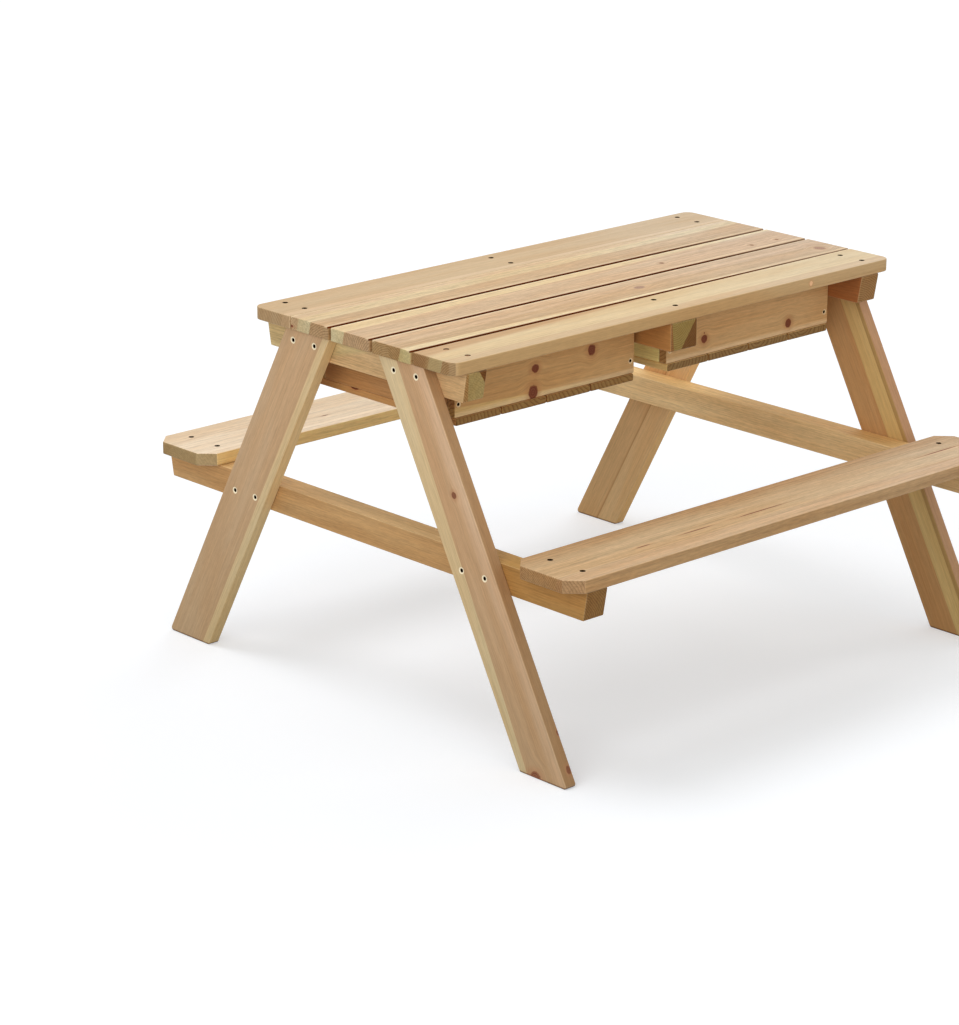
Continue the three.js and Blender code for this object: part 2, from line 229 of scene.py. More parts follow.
# A bore: the radius of the cone at its mouth, its own radius, the depth of the cone, and its own depth.
SUNK_BORE = (4.2 * MM, 3.8 * MM, 0.5 * MM, 7.5 * MM)
SUNK_HEAD_RADIUS = 3.4 * MM
SUNK_HEAD_DEPTH = 4.6 * MM
CORNER_HEAD_DEPTH = 0.8 * MM
BIT_OVERSHOOT = 2 * MM
ROUND_STEPS = 32


def linear(color):
    """An sRGB colour of three values from 0 to 255 as linear light with an alpha of one."""
    share = np.array(color) / 255
    value = np.where(share <= 0.04045, share / 12.92, ((share + 0.055) / 1.055) ** 2.4)
    return (*[float(v) for v in value], 1.0)


def mesh_object(name, points, faces, smooth):
    """A mesh object at the origin from points and faces, with a flag for each face that is shaded smooth."""
    mesh = bpy.data.meshes.new(name)
    mesh.from_pydata(points, [], faces)
    mesh.polygons.foreach_set("use_smooth", smooth)
    piece = bpy.data.objects.new(name, mesh)
    bpy.context.scene.collection.objects.link(piece)
    return piece


def board(name, outline, low, high, axes="xyz", arris=ARRIS, rounding=None):
    """A board whose outline, an anticlockwise polygon, is swept by a rounded edge profile.

    A corner rounded to radius R has its centre R inside both its edges, and the outline there turns through
    the arc between their normals n. Row j of the profile lies at centre + (R - r + r cos t) n, at a height
    of r sin t from the middle of the upper or the lower quarter circle of radius r. Two flat caps close the
    grid. axes says which axis the outline's two directions and the thickness run along.
    """
    corners = np.array(outline, float)
    radii = np.full(len(corners), CORNER_ROUNDING) if rounding is None else np.array(rounding)
    radii = np.maximum(radii, arris + LEAST_ROUNDING)
    edges = np.roll(corners, -1, 0) - corners
    edges /= np.linalg.norm(edges, axis=1)[:, None]
    normals = np.stack([edges[:, 1], -edges[:, 0]], 1)
    before = np.roll(normals, 1, 0)
    centres = corners - radii[:, None] * (before + normals) / (1 + (before * normals).sum(1))[:, None]
    start = np.arctan2(before[:, 1], before[:, 0])
    turn = (np.arctan2(normals[:, 1], normals[:, 0]) - start) % (2 * math.pi)
    angle = (start[:, None] + turn[:, None] * np.linspace(0, 1, CORNER_STEPS + 1)).ravel()
    centres = np.repeat(centres, CORNER_STEPS + 1, axis=0)
    reach = np.repeat(radii, CORNER_STEPS + 1) - arris
    tilt = np.linspace(0, math.pi / 2, ARRIS_STEPS + 1)
    reach = reach[None] + arris * np.concatenate([np.cos(tilt)[::-1], np.cos(tilt)])[:, None]
    height = np.concatenate([low + arris - arris * np.sin(tilt)[::-1], high - arris + arris * np.sin(tilt)])
    out = np.stack([np.cos(angle), np.sin(angle)], 1)
    flat = centres[None] + reach[:, :, None] * out[None]
    rows, columns = reach.shape
    grid = np.concatenate([flat, np.broadcast_to(height[:, None, None], (rows, columns, 1))], 2)
    points = grid.reshape(-1, 3)[:, [axes.index("x"), axes.index("y"), axes.index("z")]]
    j, i = np.meshgrid(np.arange(rows - 1), np.arange(columns), indexing="ij")
    here, there = j * columns + i, j * columns + (i + 1) % columns
    faces = np.stack([here, there, there + columns, here + columns], -1).reshape(-1, 4).tolist()
    faces += [list(range(columns))[::-1], list(range((rows - 1) * columns, rows * columns))]
    straight_wall = (j == ARRIS_STEPS) & (i % (CORNER_STEPS + 1) == CORNER_STEPS)
    smooth = (~straight_wall).ravel().tolist() + [False, False]
    mirrored = axes == "xzy"
    if mirrored:
        faces = [face[::-1] for face in faces]
    return mesh_object(name, points, faces, smooth)


def turned(name, profile, places, direction, lobes=0.0, marked=()):
    """Copies of one turned solid, set at each place with its axis along direction.

    The surface is (r cos a, r sin a, h) for each point (r, h) of the profile, which starts and ends on the
    axis. lobes swells the radius of the profile's marked rows by 1 + lobes cos 6a, as a star socket needs.
    """
    radii, heights = np.array(profile, float).T
    angles = np.arange(ROUND_STEPS) * 2 * math.pi / ROUND_STEPS
    swell = 1 + lobes * np.isin(np.arange(len(radii)), marked)[:, None] * np.cos(6 * angles)
    across = radii[:, None] * swell
    ring = np.stack([across * np.cos(angles), across * np.sin(angles)], -1)
    local = np.concatenate([ring, np.broadcast_to(heights[:, None, None], ring.shape[:2] + (1,))], 2)
    turn = np.array(Vector((0, 0, 1)).rotation_difference(Vector(direction)).to_matrix())
    turned_points = local[1:-1].reshape(-1, 3) @ turn.T
    ends = np.array([[0, 0, heights[0]], [0, 0, heights[-1]]]) @ turn.T
    points, faces = [], []
    rows = len(radii) - 2
    j, i = np.meshgrid(np.arange(rows - 1), np.arange(ROUND_STEPS), indexing="ij")
    here, there = j * ROUND_STEPS + i, j * ROUND_STEPS + (i + 1) % ROUND_STEPS
    quads = np.stack([here, there, there + ROUND_STEPS, here + ROUND_STEPS], -1).reshape(-1, 4)
    first = np.arange(ROUND_STEPS)
    last = (rows - 1) * ROUND_STEPS + first
    count = rows * ROUND_STEPS
    for place in places:
        base = len(points) * (count + 2)
        points.append(np.concatenate([turned_points, ends]) + np.array(place))
        faces += (quads + base).tolist()
        faces += [[base + count, base + int(b), base + int(a)] for a, b in zip(first, np.roll(first, -1))]
        faces += [[base + count + 1, base + int(a), base + int(b)] for a, b in zip(last, np.roll(last, -1))]
    return mesh_object(name, np.concatenate(points), faces, [False] * len(faces))


def bits(places, direction, wall, mouth, rim_radius, radius, rim_depth, depth):
    """What a drill leaves at each place: a bore of the given depth with a cone at its mouth.

    The wood that it lays bare takes the wall's material in the bore and the mouth's in the cone."""
    over = BIT_OVERSHOOT
    wide = rim_radius + (rim_radius - radius) / rim_depth * over
    profile = [(0, -depth), (radius, -depth), (radius, -rim_depth), (wide, over), (0, over)]
    cutter = turned("bits", profile, places, direction)
    cutter.data.materials.append(wall)
    cutter.data.materials.append(mouth)
    of_copy = np.zeros(4 * ROUND_STEPS, int)
    of_copy[ROUND_STEPS:2 * ROUND_STEPS] = 1
    cutter.data.polygons.foreach_set("material_index", np.tile(of_copy, len(places)))
    return cutter


def group(name, inputs, outputs):
    tree = bpy.data.node_groups.new(name, "ShaderNodeTree")
    for direction, sockets in (("INPUT", inputs), ("OUTPUT", outputs)):
        for socket, kind in sockets.items():
            tree.interface.new_socket(socket, in_out=direction, socket_type="NodeSocket" + kind)
    return tree, tree.nodes.new("NodeGroupInput").outputs, tree.nodes.new("NodeGroupOutput").inputs


WARMER = linear((248, 233, 214))
LATE_WOOD = (0.62, 0.42, 0.28, 1.0)
# Painted shade: narrow long edges are tinted browner and darker than the faces, as edges in shade look.
EDGE_SHADE_TINT = (0.84, 0.75, 0.60, 1.0)
# Faces grow paler and bluer towards a board's right end, by this tint.
RIGHTWARD_PALE_TINT = (0.97, 1.05, 1.24, 1.0)
# Painted shade: the tint of the dark line at the top of an edge whose gap lies in shadow.
GAP_LINE_SHADE = (0.20, 0.05, 0.0, 1.0)
# Painted shade: legs darker towards the floor; at the sole a dark line, partly painted shade and partly
# stain.
FLOOR_SHADE_TINT = (0.76, 0.78, 0.76, 1.0)
FOOT_SHADE_AND_STAIN_TINT = (0.30, 0.20, 0.12, 1.0)
PLAIN_TINT = (1.0, 1.0, 1.0, 1.0)
SAP_END_TINT = (0.82, 0.89, 0.90, 1.0)
HEART_END_TINT = (0.77, 0.73, 0.67, 1.0)
END_RING_TINT = (0.60, 0.50, 0.40, 1.0)
# Painted highlight: the pale colour mixed into rounded edges and into the bands along a rim.
PAINTED_HIGHLIGHT = linear((250, 228, 188))
ARRIS_HIGHLIGHT_SHARE = 0.10
# Painted highlight: how strongly the bands along both long edges of a rimmed face are lightened.
RIM_HIGHLIGHT_SHARE = 0.36
THIN_LINE_SHARE = 0.16
PORE_SHARE = 0.10
RING_WIDTH = 3.2 * MM
RING_WAVER = 1.6
GLUE_LINE = 0.5 * MM
STRIP_WANDER = 4 * MM
GRAIN_BEND = (0, 10 * MM, 10 * MM)
HALF = (0.5, 0.5, 0.5)
SEED_STEP = (0.37, 0.11, 0.23)
STRIP_SEED = 3.1
NO_RIM = 1.0
KNOT_NOISE = (160, 160, 160)
KNOT_WOBBLE = 0.5
KNOT_RINGS = 3.3
# Each noise of the wood: how fast it varies along, across and through the board, and its detail.
BEND_NOISE = (1.7, 9, 9), 1.0
NOISES = {
    "uneven": ((3, 50, 50), 2.0), "patch": ((4, 26, 26), 2.0), "streak": ((2.2, 120, 120), 3.0),
    "stripe": ((1.3, 300, 300), 2.0), "fibre": ((40, 900, 900), 3.0), "fleck": ((90, 350, 350), 2.0),
    "pore": ((22, 620, 620), 1.0), "thin_line": ((0.9, 240, 240), 1.0),
}
# Each fade runs smoothly from one value to another, and gives 0 and 1 there, or two other shares.
FADES = {
    "pull": (0.4, 4.0, 0.8, 0.0), "halo": (0.9, 2.4, 0.45, 0.0), "knot": (0.85, 1.12, 1.0, 0.0),
    "heartwood": (0.785, 0.755), "heart_tilt": (0, 1, -0.03, 0.03), "heart_side": (0, 1, -0.06, 0.06),
    "heart_depth": (0, 1, 0.012, 0.045), "ring_line": (0.3, 0.7, 0.03, 0.08), "thin_line": (0.69, 0.77),
    "warm_patch": (0.35, 0.65, 0.0, 0.45), "pore": (0.64, 0.74), "rightward_pale": (-0.05, 0.42),
    "end": (0.5, 0.62), "end_ring": (0, 1, 0.3, 0.85), "edge": (0.5, 0.8), "eased": (0.99, 0.90),
    "mouth": (0.430, 0.441), "upper": (0.0068, 0.0076), "highlight_front": (0.0095, 0.0035),
    "highlight_back": (-0.0040, -0.0010), "rim": (0.0006, 0.0), "rim_share": (0.46, 0.15, 0.55, 1.0),
    "soil": (0.46, -0.04), "foot_shade_and_stain": (0.0035, 0.0015), "sheen": (0.2, 0.8, 0.68, 0.56),
}
LATE_WOOD_START, LATE_WOOD_END = 0.35, 0.88
# How far each noise darkens and lightens the wood, as fades.
SHADES = {
    "streak": (0.25, 0.75, -0.024, 0.022), "stripe": (0.25, 0.75, -0.038, 0.036),
    "fibre": (0.25, 0.75, -0.055, 0.055), "fleck": (0.3, 0.7, -0.02, 0.02),
}


def knot_group():
    """Bends the grain round one knot and gives how far a point lies from its middle, in knot radii."""
    tree, given, out = group(
        "knot",
        {"Place": "Vector", "Bent": "Vector", "Depth": "Float", "Middle": "Vector", "Size": "Vector"},
        {"Bent": "Vector", "Depth": "Float"},
    )
    graph = Graph(tree)
    offset = graph.vector("DIVIDE", graph.vector("SUBTRACT", given["Place"], given["Middle"]), given["Size"])
    wobble = graph.noise(given["Place"], KNOT_NOISE, result="Color")
    wobble = graph.scaled(graph.vector("SUBTRACT", wobble, HALF), KNOT_WOBBLE)
    depth = graph.add("ShaderNodeVectorMath", {0: graph.vector("ADD", offset, wobble)}, 1, operation="LENGTH")
    pull = graph.smooth(depth, *FADES["pull"])
    shift = graph.vector("MULTIPLY", graph.vector("MULTIPLY", offset, given["Size"]), (0, 1, 0))
    graph.feed(out["Bent"], graph.vector("SUBTRACT", given["Bent"], graph.scaled(shift, pull)))
    graph.feed(out["Depth"], graph.math("MINIMUM", given["Depth"], depth))
    return tree


def glued_strips(graph, given, wander):
    """The tone of the strip at each point, and how many of the two glue planes the point lies past."""
    past = []
    for number, soft in (("1", GLUE_LINE), ("2", given["Soft"])):
        height = graph.dot(given["Straight"], given["Plane " + number])
        height = graph.math("ADD", graph.math("SUBTRACT", height, given["Cut " + number]), wander)
        past.append(graph.smooth(height, graph.math("MULTIPLY", soft, -1.0), soft))
    base = graph.mix(past[0], given["Strip 1"], given["Strip 2"])
    base = graph.mix(past[1], base, given["Strip 3"])
    return base, graph.math("ADD", graph.math("ROUND", past[0]), graph.math("ROUND", past[1]))


def late_wood(graph, given, place, strip, uneven):
    """The dark part of each growth ring: shells round a heart line that each strip has in another place.

    A ring's number is the distance from that line over the width of a ring, and its fraction goes from the
    pale early wood, 0, to the late wood, which rises slowly and ends at once."""
    x, y, z = graph.parts(place)
    lot = graph.math("ADD", graph.math("MULTIPLY", strip, STRIP_SEED), given["Seed"])
    chance = graph.add("ShaderNodeTexWhiteNoise", {"W": lot}, "Color", noise_dimensions="1D")
    chance_y, chance_z, chance_tilt = graph.parts(chance)
    tilt = graph.math("MULTIPLY", x, graph.smooth(chance_tilt, *FADES["heart_tilt"]))
    heart_y = graph.math("SUBTRACT", y, graph.smooth(chance_y, *FADES["heart_side"]))
    heart_z = graph.math("ADD", graph.math("ADD", z, tilt), graph.smooth(chance_z, *FADES["heart_depth"]))
    squares = [graph.math("MULTIPLY", side, side) for side in (heart_y, heart_z)]
    number = graph.math("DIVIDE", graph.math("SQRT", graph.math("ADD", *squares)), given["Ring"])
    ring = graph.math("FRACT", graph.math("ADD", number, graph.math("MULTIPLY", uneven, RING_WAVER)))
    rise = graph.smooth(ring, LATE_WOOD_START, LATE_WOOD_END)
    return graph.math("SUBTRACT", rise, graph.smooth(ring, LATE_WOOD_END, 1.0))


def rim_highlights_and_gap_shade(graph, given, color, straight):
    """Painted highlight bands along both long edges of a face, and below the front one a painted shadow
    line at the top of the edge, where the gap lies in shade.

    Only pieces with a rim have them. Its line lies at a distance from the board's middle that may change
    along the board, and it is faintest at the right end."""
    x, y, z = straight
    rim_line = graph.math("ADD", given["Rim"], graph.math("MULTIPLY", x, given["Rim Turn"]))
    past_rim = graph.math("ADD", rim_line, y)
    upper = graph.smooth(z, *FADES["upper"])
    front = graph.smooth(past_rim, *FADES["highlight_front"])
    back = graph.smooth(graph.math("SUBTRACT", y, rim_line), *FADES["highlight_back"])
    # Painted highlight: paler bands along both long edges.
    rim_highlight = graph.product(graph.math("MAXIMUM", front, back), upper, RIM_HIGHLIGHT_SHARE)
    color = graph.mix(rim_highlight, color, PAINTED_HIGHLIGHT)
    # Painted shade: the gap's shadow as a dark line at the top of the front edge.
    rim = graph.product(graph.smooth(past_rim, *FADES["rim"]), upper, graph.smooth(x, *FADES["rim_share"]))
    return graph.tinted(rim, color, GAP_LINE_SHADE), rim


def cedar_group():
    """Planed cedar in strips parted by two planes: growth rings, streaks, pores and darker end grain.

    Rings show as fine lines on the faces and as dark arcs on the ends, most in heartwood, which is told by
    its tone: it has less green to its red. Narrow edges take a tint of painted shade or light, and edges
    that close a gap a darker painted shadow, but for the gap's two mouths. Rounded edges and the bands
    along a rim take a painted highlight; legs take a painted shade towards the floor, and at the sole a
    dark line that is partly painted shade and partly stain. Faces grow paler and bluer towards a board's
    right end.
    """
    tree, given, out = group(
        "cedar",
        {
            "Place": "Vector", "Straight": "Vector", "Facing": "Vector",
            "Strip 1": "Color", "Strip 2": "Color", "Strip 3": "Color",
            "Plane 1": "Vector", "Plane 2": "Vector", "Cut 1": "Float", "Cut 2": "Float", "Soft": "Float",
            "Seed": "Float", "Ring": "Float", "Figure": "Float", "Edge": "Color", "End": "Color",
            "Eased": "Float", "Fading": "Float", "Rim": "Float", "Rim Turn": "Float", "Soil": "Float",
            "Knot": "Float", "Knot Dark": "Color", "Knot Light": "Color", "Halo": "Color",
        },
        {"Color": "Color", "Roughness": "Float", "Height": "Float"},
    )
    graph = Graph(tree)
    seeded = graph.vector("ADD", given["Place"], graph.vector("MULTIPLY", given["Seed"], SEED_STEP))
    noise = {name: graph.noise(seeded, *how) for name, how in NOISES.items()}
    bend = graph.vector("SUBTRACT", graph.noise(seeded, *BEND_NOISE, "Color"), HALF)
    bent = graph.vector("ADD", given["Place"], graph.vector("MULTIPLY", bend, GRAIN_BEND))
    wander = graph.math("MULTIPLY", graph.parts(bend)[1], STRIP_WANDER)
    base, strip = glued_strips(graph, given, wander)
    red, green, _ = graph.parts(base)
    heartwood = graph.smooth(graph.math("DIVIDE", green, red), *FADES["heartwood"])
    late = late_wood(graph, given, bent, strip, noise["uneven"])

    nx, ny, nz = [graph.math("ABSOLUTE", part) for part in graph.parts(given["Facing"])]
    end = graph.smooth(nx, *FADES["end"])
    along = graph.math("SUBTRACT", 1.0, end)
    # Painted shade or light on the narrow long edges, by the tint each board is given.
    edge = graph.math("MULTIPLY", graph.smooth(ny, *FADES["edge"]), along)
    flat = graph.math("MAXIMUM", nx, graph.math("MAXIMUM", ny, nz))
    # Painted highlight on rounded edges, where one face turns into the next.
    eased = graph.math("MULTIPLY", graph.smooth(flat, *FADES["eased"]), given["Eased"])
    straight = graph.parts(given["Straight"])

    color = graph.tinted(graph.smooth(noise["patch"], *FADES["warm_patch"]), base, WARMER)
    thin_line = graph.math("MULTIPLY", graph.smooth(noise["thin_line"], *FADES["thin_line"]), THIN_LINE_SHARE)
    ring_line = graph.math("MULTIPLY", late, graph.smooth(noise["patch"], *FADES["ring_line"]))
    line = graph.math("MULTIPLY", graph.math("ADD", ring_line, thin_line), along)
    line = graph.math("MULTIPLY", line, given["Figure"], clamp=True)
    color = graph.mix(line, color, graph.multiplied(base, LATE_WOOD))
    # At both ends of a rimmed board, the gap's mouths, the painted gap shadow gives way to the usual edge
    # tint.
    mouth = graph.smooth(graph.math("ABSOLUTE", straight[0]), *FADES["mouth"])
    mouth = graph.math("MULTIPLY", mouth, graph.math("LESS_THAN", given["Rim"], NO_RIM / 2))
    color = graph.tinted(edge, color, graph.mix(mouth, given["Edge"], EDGE_SHADE_TINT))
    # Paler and bluer towards the board's right end.
    rightward_pale = graph.math("MULTIPLY", graph.smooth(graph.parts(bent)[0], *FADES["rightward_pale"]), given["Fading"])
    color = graph.tinted(rightward_pale, color, RIGHTWARD_PALE_TINT)
    end_tint = graph.multiplied(graph.mix(heartwood, SAP_END_TINT, HEART_END_TINT), given["End"])
    color = graph.tinted(end, color, end_tint)
    end_ring = graph.product(late, end, graph.smooth(heartwood, *FADES["end_ring"]))
    color = graph.tinted(end_ring, color, END_RING_TINT)
    # The painted highlight on rounded edges.
    color = graph.mix(eased, color, PAINTED_HIGHLIGHT)
    # Painted highlight bands and a painted shadow line along a rim.
    color, rim = rim_highlights_and_gap_shade(graph, given, color, straight)
    # Painted shade darkening legs towards the floor, and a sole line, partly painted shade and partly stain.
    floor_height = graph.parts(graph.place_on_object())[2]
    for fade, tint in (("soil", FLOOR_SHADE_TINT), ("foot_shade_and_stain", FOOT_SHADE_AND_STAIN_TINT)):
        share = graph.math("MULTIPLY", graph.smooth(floor_height, *FADES[fade]), given["Soil"])
        color = graph.tinted(share, color, tint)

    shade = 0.0
    for name, fade in SHADES.items():
        shade = graph.math("ADD", graph.smooth(noise[name], *fade), shade)
    shade = graph.math("ADD", graph.math("MULTIPLY", shade, given["Figure"]), 1.0)
    pore = graph.math("MULTIPLY", graph.smooth(noise["pore"], *FADES["pore"]), PORE_SHARE)
    color = graph.scaled(color, graph.math("SUBTRACT", shade, pore))
    color = graph.mix(graph.smooth(given["Knot"], *FADES["halo"]), color, given["Halo"])
    knot_ring = graph.math("FRACT", graph.math("MULTIPLY", given["Knot"], KNOT_RINGS))
    knot_color = graph.mix(knot_ring, given["Knot Dark"], given["Knot Light"])
    color = graph.mix(graph.smooth(given["Knot"], *FADES["knot"]), color, knot_color)
    graph.feed(out["Color"], color)
    sheen = graph.smooth(noise["streak"], *FADES["sheen"])
    graph.feed(out["Roughness"], graph.math("MAXIMUM", sheen, rim))
    halves = [graph.math("MULTIPLY", part, 0.5) for part in (late, noise["fibre"])]
    graph.feed(out["Height"], graph.math("ADD", *halves))
    return tree


cedar = cedar_group()
knot = knot_group()
RED_KNOT = ((98, 44, 24), (138, 76, 46), (178, 116, 72))
FAR_FROM_KNOTS = 9.0
WOOD_SPECULAR = 0.22
GRAIN_RELIEF = 0.12 * MM
RELIEF_STRENGTH = 0.6
X, Y, Z = (1, 0, 0), (0, 1, 0), (0, 0, 1)
NO_CUT = (Y, 1.0)
USUAL_MARKS = {
    "edge": EDGE_SHADE_TINT, "end": PLAIN_TINT, "eased": ARRIS_HIGHLIGHT_SHARE, "ring": RING_WIDTH, "soft": GLUE_LINE,
    "fading": 0.0, "rim": NO_RIM, "rim_turn": 0.0, "soil": 0.0,
}


def across_at(place, rise=0.0, slant=0.25):
    """The plane where two strips meet: at a place across the board, rising along it, slanting through it."""
    return (-rise, 1, slant), place


def cedar_material(
        name, along, across, middle, tones, cuts=(), seed=0.0, figure=1.0,
        knots=(), knot_tones=RED_KNOT, **marks):
    """Cedar for one board: its length runs along one direction and its face's width across another.

    tones are the colours of its glued strips and cuts the planes where one strip meets the next, each as its
    normal and its distance from the board's middle. Each knot is its place on the board and its half sizes,
    along, across and through it. marks are what differs from USUAL_MARKS.
    """
    material, graph = new_material(name)
    along, across = Vector(along).normalized(), Vector(across).normalized()
    turn = Matrix((along, across, along.cross(across)))
    coordinates = graph.tree.nodes.new("ShaderNodeTexCoord")
    mapping = {"Location": -(turn @ Vector(middle)), "Rotation": turn.to_euler()}
    place = graph.add("ShaderNodeMapping", {"Vector": coordinates.outputs["Object"], **mapping})
    facing = {"Vector": coordinates.outputs["Normal"], "Rotation": turn.to_euler()}
    facing = graph.add("ShaderNodeMapping", facing, vector_type="VECTOR")
    bent, depth = place, FAR_FROM_KNOTS
    for knot_place, knot_size in knots:
        node = graph.tree.nodes.new("ShaderNodeGroup")
        node.node_tree = knot
        sockets = {"Place": place, "Bent": bent, "Depth": depth, "Middle": knot_place, "Size": knot_size}
        for socket, value in sockets.items():
            graph.feed(node.inputs[socket], value)
        bent, depth = node.outputs["Bent"], node.outputs["Depth"]
    values = {"Place": bent, "Straight": place, "Facing": facing, "Knot": depth}
    values |= {"Seed": seed, "Figure": figure}
    values |= {part: linear(tone) for part, tone in zip(("Knot Dark", "Knot Light", "Halo"), knot_tones)}
    values |= {mark.replace("_", " ").title(): value for mark, value in (USUAL_MARKS | marks).items()}
    for number in (1, 2, 3):
        values[f"Strip {number}"] = linear(tones[min(number, len(tones)) - 1])
    for number in (1, 2):
        normal, distance = cuts[number - 1] if number <= len(cuts) else NO_CUT
        values[f"Plane {number}"] = Vector(normal).normalized()
        values[f"Cut {number}"] = distance / Vector(normal).length
    node = graph.tree.nodes.new("ShaderNodeGroup")
    node.node_tree = cedar
    for socket, value in values.items():
        graph.feed(node.inputs[socket], value)
    relief = {"Height": node.outputs["Height"], "Distance": GRAIN_RELIEF, "Strength": RELIEF_STRENGTH}
    normal = graph.add("ShaderNodeBump", relief)
    sockets = {"Base Color": node.outputs["Color"], "Roughness": node.outputs["Roughness"], "Normal": normal}
    shader = graph.add("ShaderNodeBsdfPrincipled", {**sockets, "Specular IOR Level": WOOD_SPECULAR})
    graph.add("ShaderNodeOutputMaterial", {"Surface": shader})
    return material


# Painted shade: near-black bore walls stand in for the shadow deep in each bore.
BORE_SHADE = (40, 22, 8)
BORE_SHADE_DEEP = (26, 14, 4)
CUT_NOISE = (900, 900, 900)
CUT_ROUGHNESS = 0.7


def cut_wood(name, first, second, shine=WOOD_SPECULAR):
    """Wood that a drill laid bare, with faint turning marks."""
    material, graph = new_material(name)
    color = graph.mix(graph.noise(graph.place_on_object(), CUT_NOISE), linear(first), linear(second))
    sockets = {"Base Color": color, "Roughness": CUT_ROUGHNESS, "Specular IOR Level": shine}
    graph.add("ShaderNodeOutputMaterial", {"Surface": graph.add("ShaderNodeBsdfPrincipled", sockets)})
    return material


BLACKING, BLACKING_BLOOM = (28, 16, 8), (58, 36, 18)
# Pale brownish screw heads, for the two screws at the tabletop's front corner.
PALE_HEAD, PALE_HEAD_BLOOM = (176, 132, 98), (206, 164, 124)
STEEL_NOISE = (1500, 1500, 1500)
STEEL_SHEEN = (0.3, 0.7, 0.45, 0.65)
STEEL_SPECULAR = 0.04


def screw_steel(name, first, second):
    """Phosphated steel with a duller bloom."""
    material, graph = new_material(name)
    bloom = graph.noise(graph.place_on_object(), STEEL_NOISE)
    color = graph.mix(bloom, linear(first), linear(second))
    sockets = {"Base Color": color, "Roughness": graph.smooth(bloom, *STEEL_SHEEN)}
    sockets["Specular IOR Level"] = STEEL_SPECULAR
    graph.add("ShaderNodeOutputMaterial", {"Surface": graph.add("ShaderNodeBsdfPrincipled", sockets)})
    return material


# Bore walls take painted shade, a near-black for the shadow inside them.
bore_shade = cut_wood("painted_shade_bore", BORE_SHADE, BORE_SHADE_DEEP, 0.0)
steel = screw_steel("screw_steel", BLACKING, BLACKING_BLOOM)
pale_head_steel = screw_steel("pale_head_steel", PALE_HEAD, PALE_HEAD_BLOOM)
SCREW_HEAD_HEIGHT = 2.5 * MM
SCREW_HEAD_CHAMFER = 0.3 * MM
SCREW_TOP_SHARE = 0.93
SOCKET_DEPTH = 1.8 * MM
SOCKET_MOUTH_SHARE, SOCKET_FLOOR_SHARE = 0.55, 0.5
SOCKET_LOBES = 0.14
SOCKET_ROWS = (4, 5)


def fit_board(node, piece, wood, body="table", cutter=None):
    """Gives a board its wood, drills it by an exact Boolean applied at once, and puts it for its node."""
    piece.data.materials.append(wood)
    if cutter:
        modifier = piece.modifiers.new("bore", "BOOLEAN")
        modifier.operation = "DIFFERENCE"
        modifier.solver = "EXACT"
        modifier.material_mode = "TRANSFER"
        modifier.object = cutter
        graph = bpy.context.evaluated_depsgraph_get()
        bored = bpy.data.meshes.new_from_object(piece.evaluated_get(graph))
        piece.modifiers.clear()
        piece.data = bored
        bpy.data.objects.remove(cutter)
    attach(piece, body)
    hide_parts(node)


def screw_heads(name, places, direction, radius, depth, nodes=(), finish=steel):
    """Cylinder-headed screws with a star socket, their heads at the given depth below each place."""
    bottom, chamfer = -depth - SCREW_HEAD_HEIGHT, -depth - SCREW_HEAD_CHAMFER
    socket = -depth - SOCKET_DEPTH
    profile = [(0, bottom), (radius, bottom), (radius, chamfer), (radius * SCREW_TOP_SHARE, -depth)]
    profile += [(radius * SOCKET_MOUTH_SHARE, -depth), (radius * SOCKET_FLOOR_SHARE, socket), (0, socket)]
    heads = turned(name, profile, places, direction, SOCKET_LOBES, SOCKET_ROWS)
    heads.data.materials.append(finish)
    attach(heads, "table")
    if nodes:
        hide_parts(*nodes)


def middle_of(node):
    low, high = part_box(node)
    return (low + high) / 2


def rectangle(low, high):
    return [(low[0], low[1]), (high[0], low[1]), (high[0], high[1]), (low[0], high[1])]


GOLD = (214, 186, 147)
CREAM = (224, 201, 159)
SAND = (203, 167, 124)
LINEN = (220, 193, 157)
DUNE = (208, 181, 143)
PALE_KNOT = ((232, 172, 120), (255, 216, 172), (206, 150, 104))
EDGE_KNOT = ((0.267, -0.041, 0.000), (3.4 * MM, 4 * MM, 3.4 * MM))
